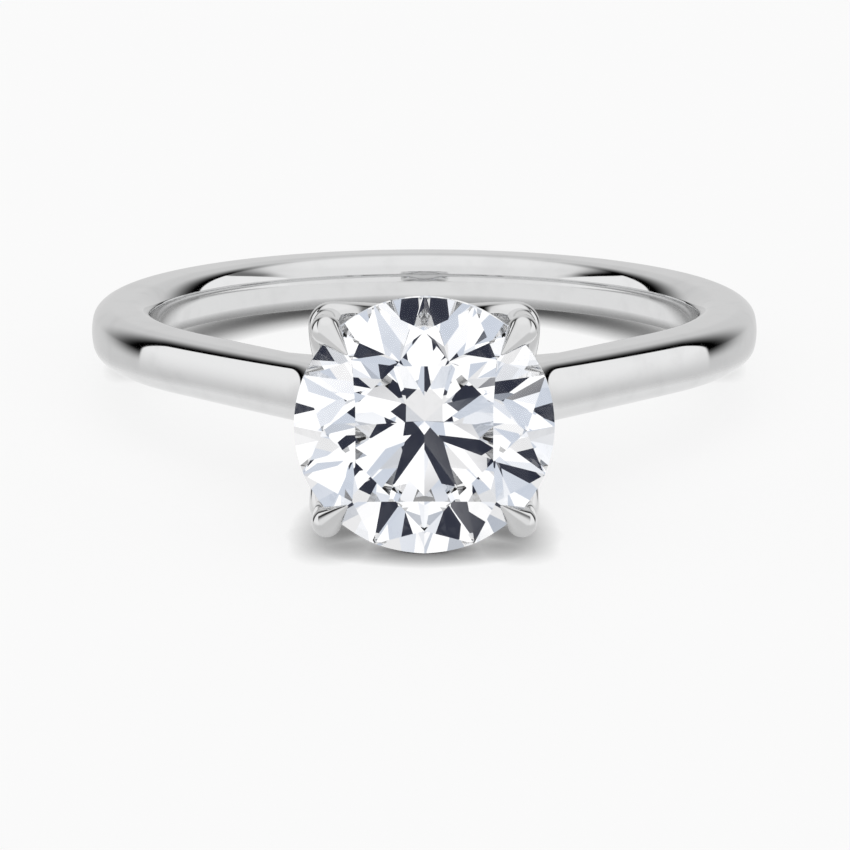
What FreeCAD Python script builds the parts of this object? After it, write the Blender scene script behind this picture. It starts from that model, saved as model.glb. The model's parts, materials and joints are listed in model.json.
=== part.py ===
import FreeCAD, Part
import math
import os

# Solitaire engagement ring: a four-claw tulip head on a cathedral shank, holding one round brilliant.
#
# The ring is modelled as worn, in millimetres: the finger axis lies along Y, the stone is up at +Z and the
# origin is the centre of the finger hole. At the end every piece is laid on its side on a table, as the
# ring rests by itself: the table is z = 0, the stone faces -Y, and the ring leans on the stone's girdle
# and on the back of the hoop.
#
# Bench order: the hoop carries two straight shoulders, a narrow bridge closes the finger hole under the
# head, a peg pins the collet to the bridge, four claws stand in grooves filed in the collet, and four
# arches brace the claws. The stone sits in notches cut in the claws.

V = FreeCAD.Vector

# Finger hole and hoop. The section has a flat inner wall, rounded inner edges and a low domed outer face.
finger_diameter = 16.5
hoop_thickness = 1.86
hoop_width = 1.70
inner_edge_radius = 0.42
outer_edge_radius = 0.42
dome_radius = 1.9

# Shoulders. They leave the hoop along its tangent at this angle from the stone, and run straight.
shoulder_angle = 49.2
shoulder_end_thickness = 1.56
shoulder_end_width = 1.78

# Round brilliant, as shares of its diameter and as facet angles.
stone_diameter = 7.15
girdle_height = 15.2
table_share = 0.568
girdle_share = 0.045
star_share = 0.535
lower_half_share = 0.79
crown_angle = 35.6
pavilion_angle = 40.5
girdle_clearance = 0.01

# Claws: wire that curves up and out from the collet, stands nearly upright beside the girdle and is
# drawn over the crown to a point.
claw_wire_radius = 0.44
claw_crest_radius = 0.42
claw_tip_radius = 0.045
claw_foot = (1.60, 9.10)
claw_bend_top = (3.70, 13.60)
claw_crest = (3.80, 15.38)
claw_tip = (2.97, 15.98)

# Collet: the tapered cup at the bottom of the head. Each pair is a radius and a height.
collet_foot = (1.45, 9.00)
collet_rim = (2.20, 11.90)
collet_wall = 0.50
collet_floor = 0.65

# Arches: wires that dip between neighbouring claws and end inside them. The places are distances outwards,
# sideways and up.
arch_wire_radius = 0.36
arch_end = (2.84, 2.40, 13.95)
arch_dip = (2.48, 0.0, 12.35)

# Bridge under the head, and the peg through it.
bridge_thickness = 0.90
bridge_width = 1.20
bridge_edge_radius = 0.22
bridge_half_angle = 40.0
peg_radius = 0.45

finger_radius = finger_diameter / 2
finger_axis = V(0, 1, 0)
head_axis = V(0, 0, 1)
far = 40.0


def radial(angle):
    """Direction from the finger's centre at this angle from the stone, towards +X when positive."""
    a = math.radians(angle)
    return V(math.sin(a), 0, math.cos(a))


def outer_edge_centre(thickness, width):
    """Centre of the rounding between a side of the band and its dome: its depth and its offset sideways."""
    offset = width / 2 - outer_edge_radius
    depth = thickness - dome_radius + math.sqrt((dome_radius - outer_edge_radius) ** 2 - offset**2)
    return depth, offset


def band_section(base, outward, thickness, width):
    """Closed outline of the band at base, a point of its inner wall, with outward pointing off the finger."""
    half = width / 2
    edge_u, edge_y = outer_edge_centre(thickness, width)
    dome_centre = thickness - dome_radius
    middle = math.atan2(edge_y, edge_u - dome_centre)
    meet_u = dome_centre + dome_radius * math.cos(middle)
    meet_y = dome_radius * math.sin(middle)
    turn = (math.pi / 2 + middle) / 2
    soft = inner_edge_radius * (1 - math.sqrt(0.5))

    def at(u, y):
        return base + outward * u + finger_axis * y

    def outer_mid(sign):
        return at(
            edge_u + outer_edge_radius * math.cos(turn),
            sign * (edge_y + outer_edge_radius * math.sin(turn)),
        )

    edges = [
        Part.LineSegment(at(0, inner_edge_radius - half), at(0, half - inner_edge_radius)),
        Part.Arc(at(0, half - inner_edge_radius), at(soft, half - soft), at(inner_edge_radius, half)),
        Part.LineSegment(at(inner_edge_radius, half), at(edge_u, half)),
        Part.Arc(at(edge_u, half), outer_mid(1), at(meet_u, meet_y)),
        Part.Arc(at(meet_u, meet_y), at(thickness, 0), at(meet_u, -meet_y)),
        Part.Arc(at(meet_u, -meet_y), outer_mid(-1), at(edge_u, -half)),
        Part.LineSegment(at(edge_u, -half), at(inner_edge_radius, -half)),
        Part.Arc(at(inner_edge_radius, -half), at(soft, soft - half), at(0, inner_edge_radius - half)),
    ]
    return Part.Wire([edge.toShape() for edge in edges])


def make_hoop():
    """The round part of the shank, from one shoulder round the back of the finger to the other."""
    start = radial(shoulder_angle)
    face = Part.Face(band_section(start * finger_radius, start, hoop_thickness, hoop_width))
    return face.revolve(V(0, 0, 0), finger_axis, 360 - 2 * shoulder_angle)


def make_shoulder(side):
    """A straight arm from the hoop to the collet, thinning towards the head. side is 1 for +X, -1 for -X."""
    outward = radial(shoulder_angle)
    along = V(-outward.z, 0, outward.x)
    start = outward * finger_radius
    length = (start.x - collet_foot[0]) / outward.z
    stations = 5
    sections = []
    for i in range(stations):
        share = i / (stations - 1)
        taper = share**2
        thickness = hoop_thickness + (shoulder_end_thickness - hoop_thickness) * taper
        width = hoop_width + (shoulder_end_width - hoop_width) * taper
        sections.append(band_section(start + along * (length * share), outward, thickness, width))
    arm = Part.makeLoft(sections, True, False)
    return arm if side > 0 else arm.mirror(V(0, 0, 0), V(1, 0, 0))


def make_bridge():
    """A narrow curved bar that follows the finger between the shoulders."""
    start = radial(-bridge_half_angle)
    base = start * finger_radius
    y = V(0, bridge_width / 2, 0)
    top = start * bridge_thickness
    face = Part.Face(Part.makePolygon([base - y, base + y, base + y + top, base - y + top, base - y]))
    bar = face.revolve(V(0, 0, 0), finger_axis, 2 * bridge_half_angle)
    long_edges = [e for e in bar.Edges if isinstance(e.Curve, Part.Circle)]
    return bar.makeFillet(bridge_edge_radius, long_edges)


def cone_between(low, high):
    """Solid cone about the head's axis, between two pairs of radius and height."""
    return Part.makeCone(low[0], high[0], high[1] - low[1], V(0, 0, low[1]), head_axis)


def make_collet():
    """The tapered cup that the claws stand round, open upwards and floored for the peg."""
    floor_top = collet_foot[1] + bridge_thickness / 4 + collet_floor
    slope = (collet_rim[0] - collet_foot[0]) / (collet_rim[1] - collet_foot[1])
    hollow_foot = (collet_foot[0] + slope * (floor_top - collet_foot[1]) - collet_wall, floor_top)
    hollow_rim = (collet_rim[0] - collet_wall, collet_rim[1])
    cup = cone_between(collet_foot, collet_rim).cut(cone_between(hollow_foot, hollow_rim))
    return cup, floor_top


def make_peg(floor_top):
    """The pin of the head: level with the collet's floor above, and filed flush with the finger hole below."""
    finger = Part.makeCylinder(finger_radius, far, V(0, -far / 2, 0), finger_axis)
    return Part.makeCylinder(peg_radius, floor_top, V(0, 0, 0), head_axis).cut(finger)


def make_claw(azimuth):
    """One claw, before its seat is cut: bend, upright, and a rounded head drawn to a point over the crown."""
    foot = V(claw_foot[0], 0, claw_foot[1])
    bend_top = V(claw_bend_top[0], 0, claw_bend_top[1])
    crest = V(claw_crest[0], 0, claw_crest[1])
    tip = V(claw_tip[0], 0, claw_tip[1])
    upright = (crest - bend_top).normalize()
    inward = V(-upright.z, 0, upright.x)
    chord = foot - bend_top
    bend_radius = chord.dot(chord) / (2 * chord.dot(inward))
    centre = bend_top + inward * bend_radius
    a, b = bend_top - centre, foot - centre
    sweep = math.degrees(a.getAngle(b))
    disc = Part.Face(Part.Wire(Part.makeCircle(claw_wire_radius, bend_top, upright)))
    bend = disc.revolve(centre, V(0, 1, 0), sweep)
    rise = (crest - bend_top).Length
    stem = Part.makeCone(claw_wire_radius, claw_crest_radius, rise, bend_top, upright)
    claw = bend.fuse([stem, tapered_capsule(crest, claw_crest_radius, tip, claw_tip_radius)])
    claw = claw.removeSplitter()
    claw.rotate(V(0, 0, 0), head_axis, azimuth)
    return claw


def tapered_capsule(a, radius_a, b, radius_b):
    """Two balls and the cone that touches both."""
    axis = b - a
    length = axis.Length
    axis.normalize()
    lean = (radius_a - radius_b) / length
    rise = math.sqrt(1 - lean**2)
    low, high = a + axis * (radius_a * lean), b + axis * (radius_b * lean)
    cone = Part.makeCone(radius_a * rise, radius_b * rise, (high - low).Length, low, axis)
    return Part.makeSphere(radius_a, a).fuse([cone, Part.makeSphere(radius_b, b)])


def make_arch(azimuth):
    """A round wire bent in one arc, from the claw on one side of azimuth down and up to the next claw."""
    out, sideways, up = arch_end
    first = V(out, -sideways, up)
    arc = Part.Arc(first, V(*arch_dip), V(out, sideways, up)).toShape()
    circle = Part.makeCircle(arch_wire_radius, first, arc.tangentAt(arc.FirstParameter))
    disc = Part.Face(Part.Wire(circle))
    sweep = math.degrees(arc.LastParameter - arc.FirstParameter)
    wire = disc.revolve(arc.Curve.Center, arc.Curve.Axis, sweep)
    wire.rotate(V(0, 0, 0), head_axis, azimuth)
    return wire


def half_space(points, inside):
    """A large box on the far side of the plane through three points, away from the point inside."""
    a, b, c = points
    normal = (b - a).cross(c - a).normalize()
    if normal.dot(inside - a) > 0:
        normal = normal * -1
    box = Part.makeBox(far, far, far, V(-far / 2, -far / 2, 0))
    box.Placement = FreeCAD.Placement(a, FreeCAD.Rotation(head_axis, normal))
    return box


def make_stone(clearance=0.0):
    """Round brilliant with 57 flat facets and a round girdle, its flat table edges square to X and Y."""
    d = stone_diameter
    gap = clearance / d

    def at(share, azimuth, height):
        a = math.radians(azimuth)
        return V(share * d * math.cos(a), share * d * math.sin(a), girdle_height + height * d)

    crown_slope = math.tan(math.radians(crown_angle))
    pavilion_slope = math.tan(math.radians(pavilion_angle))
    rim = 0.5 + gap
    edge = girdle_share / 2 + gap
    half_turn = math.cos(math.radians(22.5))
    corner = table_share / 2
    table_height = edge + (rim - corner) * crown_slope
    table_edge = corner * half_turn
    star_tip = table_edge + star_share * (rim - table_edge)
    star_height = table_height - (star_tip * half_turn - corner) * crown_slope
    culet = edge + rim * pavilion_slope
    lower_tip = rim * (1 - lower_half_share)
    lower_height = edge + (rim - lower_tip * half_turn) * pavilion_slope

    inside = V(0, 0, girdle_height)
    rough = Part.makeCylinder(
        rim * d, (table_height + culet) * d, V(0, 0, girdle_height - culet * d), head_axis
    )
    planes = []
    for k in range(8):
        main = 22.5 + 45 * k
        here = at(corner, main, table_height)
        after = at(corner, main + 45, table_height)
        girdle_main = at(rim, main, edge)
        girdle_side = V(-math.sin(math.radians(main)), math.cos(math.radians(main)), 0)
        below_main = at(rim, main, -edge)
        planes.append((here, girdle_main, girdle_main + girdle_side))
        planes.append((here, after, at(star_tip, main + 22.5, star_height)))
        planes.append((at(0, 0, -culet), below_main, below_main + girdle_side))
        for turn in (22.5, -22.5):
            star = at(star_tip, main + turn, star_height)
            lower = at(lower_tip, main + turn, -lower_height)
            planes.append((star, girdle_main, at(rim, main + turn, edge)))
            planes.append((lower, below_main, at(rim, main + turn, -edge)))
    for plane in planes:
        rough = rough.cut(half_space(plane, inside))
    return rough


def one_solid(shape, name):
    """The single solid that a cut leaves, or its largest piece."""
    solids = sorted(shape.Solids, key=lambda s: s.Volume)
    if len(solids) > 1:
        print(f"{name}: dropped {len(solids) - 1} chips of {sum(s.Volume for s in solids[:-1]):.4f} mm3")
    return solids[-1]


def fit_together():
    """Every piece in the worn frame, with each joint cut as it is on the bench."""
    stone = make_stone()
    seat = make_stone(girdle_clearance)
    hoop = make_hoop()
    shoulders = {"shoulder_left": make_shoulder(-1), "shoulder_right": make_shoulder(1)}
    claw_places = {
        "claw_upper_right": 45,
        "claw_upper_left": 135,
        "claw_lower_left": 225,
        "claw_lower_right": 315,
    }
    arch_places = {"arch_right": 0, "arch_upper": 90, "arch_left": 180, "arch_lower": 270}
    blanks = {name: make_claw(azimuth) for name, azimuth in claw_places.items()}
    claws = {name: blank.cut(seat) for name, blank in blanks.items()}
    arches = {name: make_arch(a).cut(list(blanks.values())) for name, a in arch_places.items()}
    collet, floor_top = make_collet()
    peg = make_peg(floor_top)
    slope = (collet_rim[0] - collet_foot[0]) / (collet_rim[1] - collet_foot[1])
    above_rim = (collet_rim[0] + slope, collet_rim[1] + 1)
    whole_collet = cone_between(collet_foot, above_rim)
    bridge_round = Part.makeCylinder(
        finger_radius + bridge_thickness, far, V(0, -far / 2, 0), finger_axis
    )
    trim = [whole_collet, *blanks.values(), arches["arch_right"], arches["arch_left"]]
    shoulders = {name: arm.cut(trim) for name, arm in shoulders.items()}
    bridge = make_bridge().cut([*shoulders.values(), peg])
    collet = collet.cut([*blanks.values(), peg, bridge_round])
    claws = {name: claw.cut(bridge_round) for name, claw in claws.items()}
    pieces = {"shank_hoop": hoop, **shoulders, "finger_bridge": bridge, "collet": collet}
    pieces |= {"head_peg": peg, **claws, **arches, "centre_stone": stone}
    return {name: one_solid(shape, name) for name, shape in pieces.items()}


def resting_turn():
    """Turn about X that lays the ring on its side, with the girdle and the back of the hoop on the table.

    Seen along X, the table is a line that runs through the lower edge of the girdle and touches the rounded
    outer edge of the hoop's section.
    """
    girdle = V(0, -stone_diameter / 2, girdle_height - girdle_share * stone_diameter / 2)
    edge_u, edge_y = outer_edge_centre(hoop_thickness, hoop_width)
    rounding = V(0, -edge_y, -finger_radius - edge_u)
    run = girdle - rounding
    lean = math.atan2(-run.y, run.z) - math.asin(outer_edge_radius / run.Length)
    return 90 - math.degrees(lean)


def main():
    os.makedirs("parts", exist_ok=True)
    pieces = fit_together()
    turn = resting_turn()
    laid = {}
    for name, shape in pieces.items():
        laid[name] = shape.copy()
        laid[name].rotate(V(0, 0, 0), V(1, 0, 0), turn)
    box = Part.makeCompound(list(laid.values())).optimalBoundingBox(False, False)
    shift = V(-box.Center.x, -box.Center.y, -box.ZMin)
    axis = FreeCAD.Rotation(V(1, 0, 0), turn).multVec(finger_axis)
    print(f"finger centre {tuple(round(c, 5) for c in shift)} mm, axis {tuple(round(c, 6) for c in axis)}")
    print(f"size {box.XLength:.3f} x {box.YLength:.3f} x {box.ZLength:.3f} mm")
    for name, shape in laid.items():
        shape.translate(shift)
        print(f"{name}: {shape.ShapeType} valid {shape.isValid()} volume {shape.Volume:.4f} mm3")
        shape.exportStep(f"parts/{name}.step")


main()
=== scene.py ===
import json
import math

import bmesh
import bpy
from mathutils import Matrix, Vector


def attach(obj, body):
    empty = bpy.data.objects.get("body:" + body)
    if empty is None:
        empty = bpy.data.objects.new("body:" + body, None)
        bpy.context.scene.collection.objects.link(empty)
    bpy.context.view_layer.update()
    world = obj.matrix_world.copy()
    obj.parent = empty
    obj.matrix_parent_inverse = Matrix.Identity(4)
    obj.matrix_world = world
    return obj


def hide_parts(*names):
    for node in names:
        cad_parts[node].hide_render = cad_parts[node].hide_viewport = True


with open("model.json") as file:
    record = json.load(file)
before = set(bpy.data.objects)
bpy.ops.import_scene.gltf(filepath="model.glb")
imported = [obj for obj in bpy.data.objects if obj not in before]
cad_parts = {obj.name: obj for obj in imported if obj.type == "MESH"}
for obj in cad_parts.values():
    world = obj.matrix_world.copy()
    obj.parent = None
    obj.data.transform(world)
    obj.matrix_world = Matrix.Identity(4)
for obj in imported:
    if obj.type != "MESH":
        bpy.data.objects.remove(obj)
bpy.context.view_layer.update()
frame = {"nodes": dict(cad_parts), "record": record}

# Solitaire ring: every visible metal piece and the stone are rebuilt here with smooth, finely divided
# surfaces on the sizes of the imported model. The ring is shaped as it is worn, in millimetres, with Y along
# the finger and Z towards the stone, and each piece is laid down on the table as it is finished.

mm = 0.001
mergeDistance = 1e-4
cutTolerance = 1e-5
bore = next(mount for mount in frame["record"]["mounts"] if mount["name"] == "finger_bore")
fingerRadius = bore["dims"]["r_mm"]
acrossAxis = Vector((1, 0, 0))
fingerAxis = Vector(bore["axis"]).normalized()
headAxis = acrossAxis.cross(fingerAxis)
layDown = Matrix((acrossAxis, fingerAxis, headAxis)).transposed().to_4x4()
wornToTable = Matrix.Translation(bore["pos_m"]) @ layDown @ Matrix.Scale(mm, 4)
wornY = Vector((0, 1, 0))
wornZ = Vector((0, 0, 1))


def wornSpan(node):
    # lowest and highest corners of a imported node, as worn
    back = wornToTable.inverted()
    points = [back @ vert.co for vert in frame["nodes"][node].data.vertices]
    return [Vector(pick(point[i] for point in points) for i in range(3)) for pick in (min, max)]


hoopLow, hoopHigh = wornSpan("shank_hoop")
stoneLow, stoneHigh = wornSpan("centre_stone")
colletLow, colletHigh = wornSpan("collet")
bridgeLow, bridgeHigh = wornSpan("finger_bridge")
hoopThickness = -hoopLow.z - fingerRadius
hoopWidth = hoopHigh.y - hoopLow.y
stoneDiameter = stoneHigh.x - stoneLow.x
print("frame: finger radius", fingerRadius, "hoop", round(hoopThickness, 3), "x", round(hoopWidth, 3))
print("frame: stone", round(stoneDiameter, 3), "from", round(stoneLow.z, 3), "to", round(stoneHigh.z, 3))


class Signal:
    # a socket whose arithmetic adds Math nodes

    def __init__(self, graph, socket):
        self.graph = graph
        self.socket = socket

    def math(self, operation, *others, **settings):
        inputs = dict(enumerate((self, *others)))
        return self.graph.node("ShaderNodeMath", {"operation": operation, **settings}, inputs)

    def __add__(self, other):
        return self.math("ADD", other)

    def __sub__(self, other):
        return self.math("SUBTRACT", other)

    def __rsub__(self, other):
        return self.graph.node("ShaderNodeMath", {"operation": "SUBTRACT"}, {0: other, 1: self})

    def __mul__(self, other):
        return self.math("MULTIPLY", other)

    def __abs__(self):
        return self.math("ABSOLUTE")

    def __pow__(self, other):
        return self.math("POWER", other)

    def outlet(self, index):
        # another output of the same node
        return Signal(self.graph, self.socket.node.outputs[index])

    def smooth(self, low, high, lowValue=0.0, highValue=1.0):
        # smooth step from low to high
        inputs = {"Value": self, 1: low, 2: high, 3: lowValue, 4: highValue}
        return self.graph.node("ShaderNodeMapRange", {"interpolation_type": "SMOOTHSTEP"}, inputs)

    __radd__ = __add__
    __rmul__ = __mul__


class Graph:
    # builds one node tree

    def __init__(self, tree):
        self.tree = tree
        tree.nodes.clear()

    def node(self, kind, settings=None, inputs=None, output=0):
        made = self.tree.nodes.new(kind)
        for name, value in (settings or {}).items():
            setattr(made, name, value)
        for key, value in (inputs or {}).items():
            if isinstance(value, Signal):
                self.tree.links.new(value.socket, made.inputs[key])
            else:
                made.inputs[key].default_value = value
        return Signal(self, made.outputs[output]) if len(made.outputs) else made

    def mixValue(self, factor, low, high):
        return self.node("ShaderNodeMix", {"data_type": "FLOAT"}, {0: factor, 2: low, 3: high})

    def mixColour(self, factor, low, high):
        return self.node("ShaderNodeMix", {"data_type": "RGBA"}, {0: factor, 6: low, 7: high}, 2)


def newMaterial(name):
    material = bpy.data.materials.new(name)
    material.use_nodes = True
    return material, Graph(material.node_tree)


whiteGold = {
    "colour": (0.74, 0.742, 0.745, 1),
    "wornColour": (0.70, 0.702, 0.705, 1),
    "roughness": 0.045,
    "wornRoughness": 0.075,
    "hazeSize": 0.9 * mm,
    "hazeDetail": 3.0,
    "hazeRange": (0.45, 0.75),
    "scratchSize": 0.05 * mm,
    "scratchDetail": 2.0,
    "scratchTurn": (0.3, 0.2, 0.6),
    "scratchStretch": (1, 0.06, 1),
    "scratchDepth": 0.0002 * mm,
    "scratchStrength": 0.15,
}


def makeWhiteGold():
    # mirror polish with a faint haze of wiping marks and hairline scratches
    material, graph = newMaterial("polishedWhiteGold")
    place = graph.node("ShaderNodeTexCoord", output=3)
    haze = graph.node(
        "ShaderNodeTexNoise",
        {},
        {"Vector": place, "Scale": 1 / whiteGold["hazeSize"], "Detail": whiteGold["hazeDetail"]},
    )
    stretched = graph.node(
        "ShaderNodeMapping",
        {},
        {"Vector": place, "Rotation": whiteGold["scratchTurn"], "Scale": whiteGold["scratchStretch"]},
    )
    hairlines = graph.node(
        "ShaderNodeTexNoise",
        {},
        {
            "Vector": stretched,
            "Scale": 1 / whiteGold["scratchSize"],
            "Detail": whiteGold["scratchDetail"],
        },
    )
    wear = haze.smooth(*whiteGold["hazeRange"])
    bump = graph.node(
        "ShaderNodeBump",
        {},
        {
            "Strength": whiteGold["scratchStrength"],
            "Distance": whiteGold["scratchDepth"],
            "Height": hairlines,
        },
    )
    colour = graph.mixColour(wear, whiteGold["colour"], whiteGold["wornColour"])
    roughness = graph.mixValue(wear, whiteGold["roughness"], whiteGold["wornRoughness"])
    shader = graph.node(
        "ShaderNodeBsdfPrincipled",
        {},
        {"Base Color": colour, "Metallic": 1.0, "Roughness": roughness, "Normal": bump},
    )
    graph.node("ShaderNodeOutputMaterial", {}, {"Surface": shader})
    return material


diamond = {
    "colour": (1.0, 1.0, 1.0, 1),
    "ior": 2.417,
    "surfaceTint": (0.10, 0.10, 0.10, 1),
}


def makeDiamond():
    # clear and flawless, its surface glare damped so that dark facets stay deep
    material, graph = newMaterial("diamond")
    shader = graph.node(
        "ShaderNodeBsdfPrincipled",
        {},
        {
            "Base Color": diamond["colour"],
            "Roughness": 0.0,
            "IOR": diamond["ior"],
            "Transmission Weight": 1.0,
            "Specular Tint": diamond["surfaceTint"],
        },
    )
    graph.node("ShaderNodeOutputMaterial", {}, {"Surface": shader})
    return material


metal = makeWhiteGold()
crystal = makeDiamond()
print("materials made")


def turnY(angle):
    return Matrix.Rotation(math.radians(angle), 4, "Y")


def turnZ(angle):
    return Matrix.Rotation(math.radians(angle), 4, "Z")


def edgesOf(made):
    return [item for item in made if isinstance(item, bmesh.types.BMEdge)]


def vertsOf(made):
    return [item for item in made if isinstance(item, bmesh.types.BMVert)]


def station(position, direction, side, radius):
    # matrix that puts a unit circle across a path that lies in the plane square to side
    ahead = Vector(direction).normalized()
    third = ahead.cross(side)
    turn = Matrix((side, third, ahead)).transposed().to_4x4()
    return Matrix.Translation(position) @ turn @ Matrix.Scale(radius, 4)


def sweepRings(stations, segments):
    # a tube through the stations, closed with a fan at both ends
    bm = bmesh.new()
    start = bmesh.ops.create_circle(bm, cap_ends=False, radius=1, segments=segments)["verts"]
    bmesh.ops.transform(bm, matrix=stations[0], verts=start)
    edges = bm.edges[:]
    for before, after in zip(stations, stations[1:]):
        made = bmesh.ops.extrude_edge_only(bm, edges=edges)["geom"]
        edges = edgesOf(made)
        bmesh.ops.transform(bm, matrix=after @ before.inverted(), verts=vertsOf(made))
    bmesh.ops.holes_fill(bm, edges=[edge for edge in bm.edges if edge.is_boundary], sides=segments)
    return bm


def tidyNormals(bm):
    bmesh.ops.remove_doubles(bm, verts=bm.verts, dist=mergeDistance)
    bmesh.ops.recalc_face_normals(bm, faces=bm.faces)
    return bm


def carve(bm, tool, operation):
    # both meshes through the Boolean modifier, as a new mesh
    shapes = []
    for shape in (bm, tool):
        mesh = bpy.data.meshes.new("blank")
        shape.to_mesh(mesh)
        shapes.append(bpy.data.objects.new("blank", mesh))
        bpy.context.scene.collection.objects.link(shapes[-1])
    blank = shapes[0]
    boolean = blank.modifiers.new("carve", "BOOLEAN")
    boolean.object = shapes[1]
    boolean.operation = operation
    boolean.solver = "EXACT"
    carved = blank.evaluated_get(bpy.context.evaluated_depsgraph_get()).to_mesh()
    result = bmesh.new()
    result.from_mesh(carved)
    for shape in shapes:
        mesh = shape.data
        bpy.data.objects.remove(shape)
        bpy.data.meshes.remove(mesh)
    return result


def finishPiece(name, bm, material, nodes, sharpAngle=180.0):
    # lays a shape down, names it and hands it to the frame
    bmesh.ops.transform(bm, matrix=wornToTable, verts=bm.verts)
    for face in bm.faces:
        face.smooth = True
    for edge in bm.edges:
        edge.smooth = edge.calc_face_angle(0) < math.radians(sharpAngle)
    mesh = bpy.data.meshes.new(name)
    bm.to_mesh(mesh)
    bm.free()
    mesh.materials.append(material)
    piece = bpy.data.objects.new(name, mesh)
    bpy.context.scene.collection.objects.link(piece)
    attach(piece, "root")
    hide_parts(*nodes)
    print("made", name, len(mesh.polygons), "faces")
    return piece


# the round hoop and the two straight shoulders, swept in one and then split into three pieces
band = {
    "shoulderAngle": 49.2,
    "innerEdge": 0.50,
    "outerEdge": 0.42,
    "domeRadius": 1.9,
    "comfortRadius": 3.2,
    "headThickness": 1.56,
    "headWidth": 1.78,
    "shoulderEnd": 1.45,
    "sweepStart": 5.6,
    "sweepRadius": 2.7,
    "edgeSegments": 10,
    "flatCuts": 5,
    "domeCuts": 15,
    "hoopSteps": 300,
    "shoulderSteps": 60,
}
bandNames = {"shank_hoop": "hoop", "shoulder_right": "shoulderRight", "shoulder_left": "shoulderLeft"}


def bandSection(bm):
    # outline of the band where it crosses the Z axis: rounded edges, a low dome outside, a lower one inside
    half = hoopWidth / 2
    corners = [
        bm.verts.new((0, y, fingerRadius + depth))
        for depth, y in ((0, -half), (0, half), (hoopThickness, half), (hoopThickness, -half))
    ]
    face = bm.faces.new(corners)
    for pair, size in ((corners[:2], band["innerEdge"]), (corners[2:], band["outerEdge"])):
        bmesh.ops.bevel(
            bm,
            geom=pair,
            offset=size,
            offset_type="OFFSET",
            segments=band["edgeSegments"],
            profile=0.5,
            affect="VERTICES",
            material=-1,
        )
    bmesh.ops.delete(bm, geom=bm.faces[:], context="FACES_ONLY")
    longEdges = [edge for edge in bm.edges if edge.calc_length() > band["innerEdge"]]
    outer = [edge for edge in longEdges if min(v.co.z for v in edge.verts) > fingerRadius + hoopThickness / 2]
    others = [edge for edge in longEdges if edge not in outer]
    bmesh.ops.subdivide_edges(bm, edges=outer, cuts=band["domeCuts"])
    bmesh.ops.subdivide_edges(bm, edges=others, cuts=band["flatCuts"])
    for vert in bm.verts:
        depth = 2 * (vert.co.z - fingerRadius) / hoopThickness - 1
        crown = band["domeRadius"] if depth > 0 else -band["comfortRadius"]
        drop = crown - math.copysign(math.sqrt(crown**2 - vert.co.y**2), crown)
        vert.co.z -= drop * abs(depth) ** 0.5
    return bm.edges[:]


def runShoulder(bm, edges, side):
    # extends the band's end along its tangent to the collet, tapering to its size at the head
    angle = math.radians(band["shoulderAngle"])
    outward = Vector((side * math.sin(angle), 0, math.cos(angle)))
    along = Vector((-side * math.cos(angle), 0, math.sin(angle)))
    length = (fingerRadius * math.sin(angle) - band["shoulderEnd"]) / math.cos(angle)
    start = outward * fingerRadius
    steps = band["shoulderSteps"]
    ring = {vert for edge in edges for vert in edge.verts}
    shape = {vert: ((vert.co - start).dot(outward), vert.co.y) for vert in ring}
    made = []
    for step in range(1, steps + 1):
        share = (step / steps) ** 2
        thick = 1 + (band["headThickness"] / hoopThickness - 1) * share
        wide = 1 + (band["headWidth"] / hoopWidth - 1) * share
        curved = max(0, length * step / steps - band["sweepStart"])
        sweepUp = curved**2 / (2 * band["sweepRadius"])
        extruded = bmesh.ops.extrude_edge_only(bm, edges=edges)["geom"]
        made += [item for item in extruded if isinstance(item, bmesh.types.BMFace)]
        edges = edgesOf(extruded)
        moved = {}
        for vert in vertsOf(extruded):
            source = next(v for e in vert.link_edges for v in e.verts if v in shape)
            moved[vert] = shape[source]
            depth, offset = shape[source]
            lift = depth * thick + sweepUp * max(0, depth / hoopThickness)
            vert.co = start + along * (length * step / steps) + outward * lift
            vert.co.y = offset * wide
        shape = moved
    return made


def makeBand():
    bm = bmesh.new()
    edges = bandSection(bm)
    bmesh.ops.transform(bm, matrix=turnY(band["shoulderAngle"]), verts=bm.verts)
    firstRing = edges
    spun = bmesh.ops.spin(
        bm,
        geom=bm.verts[:] + bm.edges[:],
        cent=(0, 0, 0),
        axis=wornY,
        angle=math.radians(360 - 2 * band["shoulderAngle"]),
        steps=band["hoopSteps"],
        use_merge=False,
    )
    lastRing = edgesOf(spun["geom_last"])
    piece = bm.faces.layers.int.new("piece")
    for side, ring, index in ((1, firstRing, 1), (-1, lastRing, 2)):
        for face in runShoulder(bm, ring, side):
            face[piece] = index
    bmesh.ops.recalc_face_normals(bm, faces=bm.faces)
    trimShoulders(bm)
    bm.normal_update()
    polish = bm.verts.layers.float_vector.new("polish")
    turned = wornToTable.to_3x3().normalized()
    for vert in bm.verts:
        vert[polish] = (turned @ vert.normal).normalized()
    for index, (node, pieceName) in enumerate(bandNames.items()):
        part = bm.copy()
        layer = part.faces.layers.int["piece"]
        others = [face for face in part.faces if face[layer] != index]
        bmesh.ops.delete(part, geom=others, context="FACES")
        made = finishPiece(pieceName, part, metal, [node])
        normals = [Vector(item.vector) for item in made.data.attributes["polish"].data]
        made.data.normals_split_custom_set_from_vertices(normals)
    bm.free()


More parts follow.
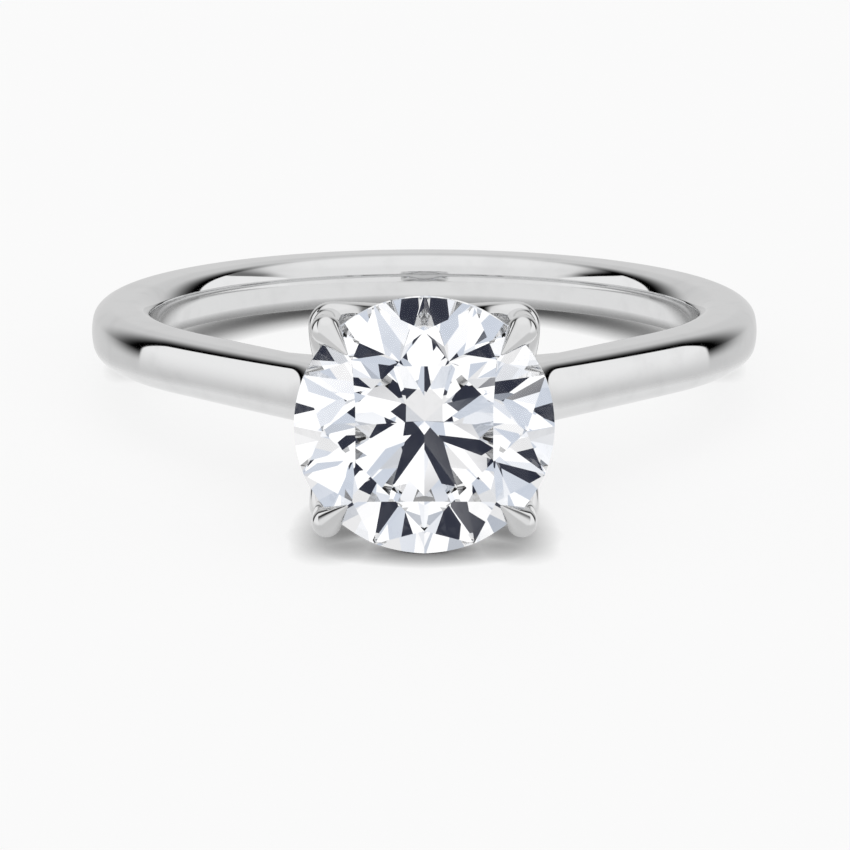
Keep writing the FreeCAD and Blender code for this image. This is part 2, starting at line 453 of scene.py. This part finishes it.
def trimShoulders(bm):
    # ends both shoulders inside the collet's wall
    for side in (1, -1):
        point = Vector((side * (collet["rimRadius"] - collet["wall"] / 2), 0, colletHigh.z))
        slope = (collet["rimRadius"] - collet["footRadius"]) / (colletHigh.z - colletLow.z)
        normal = Vector((-side, 0, slope)).normalized()
        region = [v for v in bm.verts if v.co.x * side > 0 and v.co.z > fingerRadius / 2]
        chosen = set(region)
        edges = [e for e in bm.edges if all(v in chosen for v in e.verts)]
        faces = [f for f in bm.faces if all(v in chosen for v in f.verts)]
        bmesh.ops.bisect_plane(
            bm, geom=region + edges + faces, plane_co=point, plane_no=normal, clear_outer=True
        )


collet = {
    "footRadius": 1.45,
    "rimRadius": 2.20,
    "wall": 0.50,
    "floor": 0.65,
    "edge": 0.06,
    "edgeSegments": 4,
    "sharpAngle": 25,
    "steps": 96,
}


def makeCollet():
    # tapered cup, turned from its outline
    foot, rim, wall = collet["footRadius"], collet["rimRadius"], collet["wall"]
    low, high = colletLow.z, colletHigh.z
    floorTop = low + collet["floor"]
    slope = (rim - foot) / (high - low)
    outline = [
        (0, low),
        (foot, low),
        (rim, high),
        (rim - wall, high),
        (foot + slope * collet["floor"] - wall, floorTop),
        (0, floorTop),
    ]
    bm = bmesh.new()
    verts = [bm.verts.new((radius, 0, height)) for radius, height in outline]
    edges = [bm.edges.new(pair) for pair in zip(verts, verts[1:])]
    bmesh.ops.spin(
        bm,
        geom=verts + edges,
        cent=(0, 0, 0),
        axis=wornZ,
        angle=2 * math.pi,
        steps=collet["steps"],
        use_merge=True,
    )
    tidyNormals(bm)
    rims = [edge for edge in bm.edges if edge.calc_face_angle(0) > math.radians(collet["sharpAngle"])]
    bmesh.ops.bevel(
        bm,
        geom=rims,
        offset=collet["edge"],
        offset_type="OFFSET",
        segments=collet["edgeSegments"],
        profile=0.5,
        affect="EDGES",
        material=-1,
    )
    finishPiece("collet", bm, metal, ["collet"])


bridge = {
    "halfAngle": 40.0,
    "edge": 0.22,
    "edgeSegments": 6,
    "sharpAngle": 60.0,
    "steps": 90,
}


def makeBridge():
    # narrow bar along the finger, its ends let into the shoulders
    half = (bridgeHigh.y - bridgeLow.y) / 2
    thickness = bridgeHigh.z - fingerRadius
    bm = bmesh.new()
    corners = [
        bm.verts.new((0, y, fingerRadius + depth))
        for depth, y in ((0, -half), (0, half), (thickness, half), (thickness, -half))
    ]
    bm.faces.new(corners)
    bmesh.ops.bevel(
        bm,
        geom=corners,
        offset=bridge["edge"],
        offset_type="OFFSET",
        segments=bridge["edgeSegments"],
        profile=0.5,
        affect="VERTICES",
        material=-1,
    )
    bmesh.ops.transform(bm, matrix=turnY(-bridge["halfAngle"]), verts=bm.verts)
    bmesh.ops.spin(
        bm,
        geom=bm.verts[:] + bm.edges[:] + bm.faces[:],
        cent=(0, 0, 0),
        axis=wornY,
        angle=math.radians(2 * bridge["halfAngle"]),
        steps=bridge["steps"],
        use_merge=False,
    )
    tidyNormals(bm)
    finishPiece("fingerBridge", bm, metal, ["finger_bridge"], bridge["sharpAngle"])


brilliant = {
    "girdleHeight": 15.2,
    "tableShare": 0.568,
    "girdleShare": 0.045,
    "starShare": 0.535,
    "lowerHalfShare": 0.79,
    "crownAngle": 35.6,
    "pavilionAngle": 40.5,
    "girdleSegments": 128,
    "sharpAngle": 1.0,
    "seatGap": 0.01,
}


def facetPoint(share, azimuth, height):
    # sizes as shares of the stone's diameter
    return turnZ(azimuth) @ Vector((share * stoneDiameter, 0, height * stoneDiameter))


def facetPlanes(rim, edge, culet):
    # three points on each facet's plane, for a stone with its girdle from -edge to edge
    crownSlope = math.tan(math.radians(brilliant["crownAngle"]))
    pavilionSlope = math.tan(math.radians(brilliant["pavilionAngle"]))
    facetTurn = 360 / 8
    halfTurn = math.cos(math.radians(facetTurn / 2))
    corner = brilliant["tableShare"] / 2
    tableHeight = edge + (rim - corner) * crownSlope
    tableEdge = corner * halfTurn
    starTip = tableEdge + brilliant["starShare"] * (rim - tableEdge)
    starHeight = tableHeight - (starTip * halfTurn - corner) * crownSlope
    lowerTip = rim * (1 - brilliant["lowerHalfShare"])
    lowerHeight = edge + (rim - lowerTip * halfTurn) * pavilionSlope
    top, bottom = facetPoint(0, 0, tableHeight), facetPoint(0, 0, -culet)
    planes = [(top, facetPoint(1, 0, tableHeight), facetPoint(1, 90, tableHeight))]
    for step in range(8):
        main = facetTurn / 2 + facetTurn * step
        side = turnZ(main) @ wornY
        tableCorner = facetPoint(corner, main, tableHeight)
        nextCorner = facetPoint(corner, main + facetTurn, tableHeight)
        crownRim, pavilionRim = facetPoint(rim, main, edge), facetPoint(rim, main, -edge)
        planes.append((tableCorner, crownRim, crownRim + side))
        planes.append((tableCorner, nextCorner, facetPoint(starTip, main + facetTurn / 2, starHeight)))
        planes.append((bottom, pavilionRim, pavilionRim + side))
        for turn in (main + facetTurn / 2, main - facetTurn / 2):
            planes.append((facetPoint(starTip, turn, starHeight), crownRim, facetPoint(rim, turn, edge)))
            lowerPoint = facetPoint(lowerTip, turn, -lowerHeight)
            planes.append((lowerPoint, pavilionRim, facetPoint(rim, turn, -edge)))
    return planes


def cutBrilliant(gap=0.0):
    # a rough cylinder with each facet cut by one plane
    rim = 0.5 + gap / stoneDiameter
    edge = brilliant["girdleShare"] / 2 + gap / stoneDiameter
    culet = edge + rim * math.tan(math.radians(brilliant["pavilionAngle"]))
    bm = bmesh.new()
    bmesh.ops.create_cone(
        bm,
        cap_ends=True,
        segments=brilliant["girdleSegments"],
        radius1=rim * stoneDiameter,
        radius2=rim * stoneDiameter,
        depth=2 * culet * stoneDiameter,
    )
    for first, second, third in facetPlanes(rim, edge, culet):
        normal = (second - first).cross(third - first).normalized()
        if normal.dot(first) < 0:
            normal.negate()
        cut = bmesh.ops.bisect_plane(
            bm,
            geom=bm.verts[:] + bm.edges[:] + bm.faces[:],
            dist=cutTolerance,
            plane_co=first,
            plane_no=normal,
            clear_outer=True,
        )
        loop = [e for e in edgesOf(cut["geom_cut"]) if e.is_boundary]
        if loop:
            bmesh.ops.edgeloop_fill(bm, edges=loop)
    bmesh.ops.translate(bm, vec=(0, 0, brilliant["girdleHeight"]), verts=bm.verts)
    return tidyNormals(bm)


def makeStone():
    angle = brilliant["sharpAngle"]
    finishPiece("roundBrilliant", cutBrilliant(), crystal, ["centre_stone"], angle)


claw = {
    "wireRadius": 0.44,
    "neckRadius": 0.415,
    "headRadius": 0.42,
    "tipRadius": 0.045,
    "foot": (1.60, 9.10),
    "bendTop": (3.70, 13.60),
    "crest": (3.80, 15.38),
    "tip": (2.97, 15.98),
    "bendSteps": 40,
    "stemSteps": 10,
    "headSteps": 20,
    "segments": 48,
    "sharpAngle": 35.0,
}
clawPlaces = {"upper_right": 45, "upper_left": 135, "lower_left": 225, "lower_right": 315}


def clawPoint(key):
    return Vector((claw[key][0], 0, claw[key][1]))


def stemStations():
    # foot, bend and stem of even wire, up to the middle of the head
    foot, bendTop, crest = clawPoint("foot"), clawPoint("bendTop"), clawPoint("crest")
    upright = (crest - bendTop).normalized()
    inward = Vector((-upright.z, 0, upright.x))
    chord = foot - bendTop
    bendRadius = chord.dot(chord) / (2 * chord.dot(inward))
    centre = bendTop + inward * bendRadius
    sweep = (bendTop - centre).angle(foot - centre)
    stations = []
    for step in range(claw["bendSteps"]):
        turn = Matrix.Rotation(sweep * (1 - step / claw["bendSteps"]), 4, "Y")
        place = centre + turn @ (bendTop - centre)
        stations.append(station(place, turn @ upright, wornY, claw["wireRadius"]))
    for step in range(claw["stemSteps"] + 1):
        share = step / claw["stemSteps"]
        radius = claw["wireRadius"] + (claw["neckRadius"] - claw["wireRadius"]) * share
        stations.append(station(bendTop.lerp(crest, share), upright, wornY, radius))
    return stations


def headStations():
    # a ball drawn out along a cone to a small round point
    crest, point = clawPoint("crest"), clawPoint("tip")
    ahead = (point - crest).normalized()
    length = (point - crest).length - claw["tipRadius"]
    taper = math.asin((claw["headRadius"] - claw["tipRadius"]) / length)
    tangent = math.pi / 2 - taper
    steps = claw["headSteps"]
    balls = []
    for step in range(1, steps + 1):
        balls.append((0, claw["headRadius"], math.pi - (math.pi - tangent) * step / steps))
    for step in range(steps):
        balls.append((length, claw["tipRadius"], tangent * (1 - step / steps)))
    stations = []
    for along, radius, angle in balls:
        place = crest + ahead * (along + radius * math.cos(angle))
        stations.append(station(place, ahead, wornY, radius * math.sin(angle)))
    return stations


def makeClaws():
    seat = cutBrilliant(brilliant["seatGap"])
    for name, azimuth in clawPlaces.items():
        stem = tidyNormals(sweepRings(stemStations(), claw["segments"]))
        head = tidyNormals(sweepRings(headStations(), claw["segments"]))
        whole = carve(stem, head, "UNION")
        bmesh.ops.transform(whole, matrix=turnZ(azimuth), verts=whole.verts)
        carved = carve(whole, seat, "DIFFERENCE")
        for shape in (stem, head, whole):
            shape.free()
        words = name.split("_")
        pieceName = "claw" + words[0].title() + words[1].title()
        finishPiece(pieceName, carved, metal, ["claw_" + name], claw["sharpAngle"])
    seat.free()


arch = {
    "radius": 0.36,
    "middle": (2.48, 12.35),
    "end": (2.84, 13.85),
    "cornerCentre": 2.55,
    "steps": 60,
    "cornerSteps": 10,
    "segments": 40,
    "sharpAngle": 60.0,
}
archPlaces = {"right": 0, "upper": 90, "left": 180, "lower": 270}


def archStations():
    # dips between two claws and bends round behind each, where it meets the next arch
    reach = arch["cornerCentre"]
    (outMiddle, low), (outEnd, high) = arch["middle"], arch["end"]
    points = []
    for step in range(arch["steps"] + 1):
        along = reach * (2 * step / arch["steps"] - 1)
        rise = math.sin(math.pi / 2 * along / reach) ** 2
        points.append(Vector((outMiddle + (outEnd - outMiddle) * rise, along, low + (high - low) * rise)))
    bend = outEnd - reach
    for step in range(1, arch["cornerSteps"] + 1):
        angle = math.pi / 4 * step / arch["cornerSteps"]
        out, sideways = reach + bend * math.cos(angle), reach + bend * math.sin(angle)
        points.append(Vector((out, sideways, high)))
        points.insert(0, Vector((out, -sideways, high)))
    directions = [after - before for before, after in zip(points, points[2:])]
    directions = [turnZ(-45) @ wornY] + directions + [turnZ(45) @ wornY]
    stations = []
    for point, ahead in zip(points, directions):
        side = ahead.cross(wornZ).normalized()
        stations.append(station(point, ahead, side, arch["radius"]))
    return stations


def makeArches():
    for name, azimuth in archPlaces.items():
        bm = tidyNormals(sweepRings(archStations(), arch["segments"]))
        bmesh.ops.transform(bm, matrix=turnZ(azimuth), verts=bm.verts)
        nodes = ["arch_" + name]
        finishPiece("arch" + name.title(), bm, metal, nodes, arch["sharpAngle"])


makeBand()
makeCollet()
makeBridge()
makeClaws()
makeArches()
makeStone()
# the peg is hidden by the bridge and the collet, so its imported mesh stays, in the same metal
pegMaterials = frame["nodes"]["head_peg"].data.materials
pegMaterials.clear()
pegMaterials.append(metal)


# directions in degrees: azimuth from the front of the ring, height above the table
studio = {
    "tableSize": 3.0,
    "tableColour": (0.20, 0.20, 0.20, 1),
    "tableGlow": 0.785,
    # painted contact shadow in the table's glow: how far it reaches, how sharply it falls off and how many
    # samples it takes
    "paintedShadowDepth": 1.0 * mm,
    "paintedShadowPower": 1.2,
    "paintedShadowSamples": 8,
    "mirroredRange": (10 * mm, 14 * mm),
    "card": 1.09,
    "front": 0.98,
    "back": 0.74,
    "ceiling": 1.05,
    "floorGlow": 0.74,
    "cardNear": 57,
    "cardFar": 112.5,
    "cardLean": 0.008,
    "cardInnerEdge": (55, 63),
    "cardLowEdge": (-24, 6),
    "cardStart": 0,
    "cardHeight": 40,
    "cardRise": 0.03,
    "cardSoftness": 1.0,
    "flagFade": (5, 40),
    "flagTop": (2, 18),
    "flagFoot": (-14, -1),
    "topFlagFade": (4, 16),
    "topFlagStart": (57, 88),
    "topFlagEnd": (6, 20),
    "topFlagRight": 0.75,
    "middle": (-0.2, 0.2),
    "frontToBack": (60, 120),
    "ceilingEdge": (36, 66),
    "floorEdge": (-16, -2),
    "stoneShades": (((9, 8), (15, 9)), ((-45, 16), (8, 26)), ((46, 20), (5, 20)), ((20, 70), (40, 7))),
    "shadeEdge": (0.8, 1.3),
    "unevenScale": 4.0,
    "unevenDetail": 2.0,
    "unevenRange": (0.38, 0.52),
    "shadeColour": (0.012, 0.016, 0.035, 1),
    "stoneGrey": (0.60, 0.65, 0.74, 1),
    "stoneWhite": (1.12, 1.12, 1.13, 1),
}


def makeTable():
    # white ground with a painted glow that pales its real shadows; the glow is painted darker close to the
    # ring by ambient occlusion, a painted contact shadow
    # polished metal mirrors the near part only, and the surroundings beyond
    bm = bmesh.new()
    bmesh.ops.create_grid(bm, x_segments=2, y_segments=2, size=studio["tableSize"] / 2)
    mesh = bpy.data.meshes.new("table")
    bm.to_mesh(mesh)
    bm.free()
    material, graph = newMaterial("paleTableWithPaintedShadow")
    place = graph.node("ShaderNodeTexCoord", output=3)
    distance = graph.node("ShaderNodeVectorMath", {"operation": "LENGTH"}, {0: place}, "Value")
    far = distance.smooth(*studio["mirroredRange"])
    reflected = graph.node("ShaderNodeLightPath", output="Is Glossy Ray")
    # painted contact shadow: ambient occlusion within about a millimetre darkens the table's glow under and
    # beside the ring
    paintedShadowOpenness = graph.node(
        "ShaderNodeAmbientOcclusion",
        {"samples": studio["paintedShadowSamples"]},
        {"Distance": studio["paintedShadowDepth"]},
        "AO",
    )
    glowWithPaintedShadow = graph.mixColour(paintedShadowOpenness ** studio["paintedShadowPower"], (0, 0, 0, 1), (1, 1, 1, 1))
    matt = graph.node(
        "ShaderNodeBsdfPrincipled",
        {},
        {
            "Base Color": studio["tableColour"],
            "Roughness": 1.0,
            "Specular IOR Level": 0.0,
            "Emission Color": glowWithPaintedShadow,
            "Emission Strength": studio["tableGlow"],
        },
    )
    clear = graph.node("ShaderNodeBsdfTransparent")
    shader = graph.node("ShaderNodeMixShader", {}, {0: far * reflected, 1: matt, 2: clear})
    graph.node("ShaderNodeOutputMaterial", {}, {"Surface": shader})
    mesh.materials.append(material)
    table = bpy.data.objects.new("table", mesh)
    bpy.context.scene.collection.objects.link(table)


def darkShape(turn, height, centre, size):
    # soft-edged oval flag
    across = (turn - centre[0]) * (1 / size[0])
    up = (height - centre[1]) * (1 / size[1])
    return 1 - (across * across + up * up).smooth(*studio["shadeEdge"])


def sideCards(azimuth, height, side, graph):
    # how far a direction is inside a side softbox, and inside the black flags round it
    edge = height * height * studio["cardLean"] + studio["cardFar"]
    top = ((azimuth - studio["cardNear"]) * studio["cardRise"]).math("TANH")
    top = top * studio["cardHeight"] + studio["cardStart"]
    beyond = azimuth - edge
    above = height - top
    soft = studio["cardSoftness"]
    card = (1 - beyond.smooth(-soft, soft)) * (1 - above.smooth(-soft, soft))
    card = card * azimuth.smooth(*studio["cardInnerEdge"])
    card = card * height.smooth(*studio["cardLowEdge"])

    flag = (1 - beyond.smooth(*studio["flagFade"])) * beyond.smooth(-soft, soft)
    flag = flag * (1 - above.smooth(*studio["flagTop"])) * height.smooth(*studio["flagFoot"])
    topFlag = (1 - above.smooth(*studio["topFlagFade"])) * above.smooth(-soft, soft)
    topFlag = topFlag * azimuth.smooth(*studio["topFlagStart"]) * (1 - beyond.smooth(*studio["topFlagEnd"]))
    topFlag = topFlag * graph.mixValue(side, 1.0, studio["topFlagRight"])
    return card, flag.math("MAXIMUM", topFlag)


def cyclorama(azimuth, height, graph):
    # brightness of the white surroundings: front to back, then floor and ceiling
    light = graph.mixValue(azimuth.smooth(*studio["frontToBack"]), studio["front"], studio["back"])
    light = graph.mixValue(height.smooth(*studio["ceilingEdge"]), light, studio["ceiling"])
    return graph.mixValue(height.smooth(*studio["floorEdge"]), studio["floorGlow"], light)


def surroundingsTint(direction, turn, height, graph):
    # the stone refracts uneven greys and black flags, which the metal doesn't mirror
    shade = darkShape(turn, height, *studio["stoneShades"][0])
    for centre, size in studio["stoneShades"][1:]:
        shade = shade.math("MAXIMUM", darkShape(turn, height, centre, size))
    refracted = graph.node("ShaderNodeLightPath", output="Is Transmission Ray")
    noise = {"Vector": direction, "Scale": studio["unevenScale"], "Detail": studio["unevenDetail"]}
    uneven = graph.node("ShaderNodeTexNoise", {}, noise).smooth(*studio["unevenRange"])
    tint = graph.mixColour(uneven, studio["stoneGrey"], studio["stoneWhite"])
    tint = graph.mixColour(shade, tint, studio["shadeColour"])
    return graph.mixColour(refracted, (1, 1, 1, 1), tint)


def makeWorld():
    # a white cyclorama with a tall softbox at each side, each framed by black flags
    world = bpy.data.worlds.new("studio")
    bpy.context.scene.world = world
    world.use_nodes = True
    graph = Graph(world.node_tree)
    direction = graph.node("ShaderNodeTexCoord")
    parts = graph.node("ShaderNodeSeparateXYZ", {}, {0: direction})
    turn = parts.math("ARCTAN2", 0 - parts.outlet(1)).math("DEGREES")
    azimuth = abs(turn)
    height = parts.outlet(2).math("ARCSINE").math("DEGREES")
    side = parts.smooth(*studio["middle"])
    card, dark = sideCards(azimuth, height, side, graph)
    light = graph.mixValue(card, cyclorama(azimuth, height, graph) * (1 - dark), studio["card"])
    colour = surroundingsTint(direction, turn, height, graph)
    shader = graph.node("ShaderNodeBackground", {}, {"Color": colour, "Strength": light})
    graph.node("ShaderNodeOutputWorld", {}, {"Surface": shader})


view = {
    "lens": 208.45,
    "distance": 135.05 * mm,
    "sensor": 36,
    "clip": (0.005, 10),
    "aboveRing": 11.29,
    "aimRight": 0.02,
}


def makeCamera():
    camera = bpy.data.cameras.new("camera")
    camera.lens = view["lens"]
    camera.sensor_width = view["sensor"]
    camera.clip_start, camera.clip_end = view["clip"]
    holder = bpy.data.objects.new("camera", camera)
    bpy.context.scene.collection.objects.link(holder)
    angle = math.radians(view["aboveRing"])
    aim = wornToTable @ Vector((view["aimRight"], 0, brilliant["girdleHeight"]))
    back = layDown.to_3x3() @ Vector((0, math.sin(angle), math.cos(angle)))
    holder.location = aim + back * view["distance"]
    holder.rotation_euler = (-back).to_track_quat("-Z", "Y").to_euler()
    bpy.context.scene.camera = holder


makeTable()
makeWorld()
makeCamera()
scene = bpy.context.scene
scene.view_settings.view_transform = "Standard"
scene.cycles.max_bounces = 32
scene.cycles.transmission_bounces = 24
scene.cycles.glossy_bounces = 12
print("table, light and camera made")
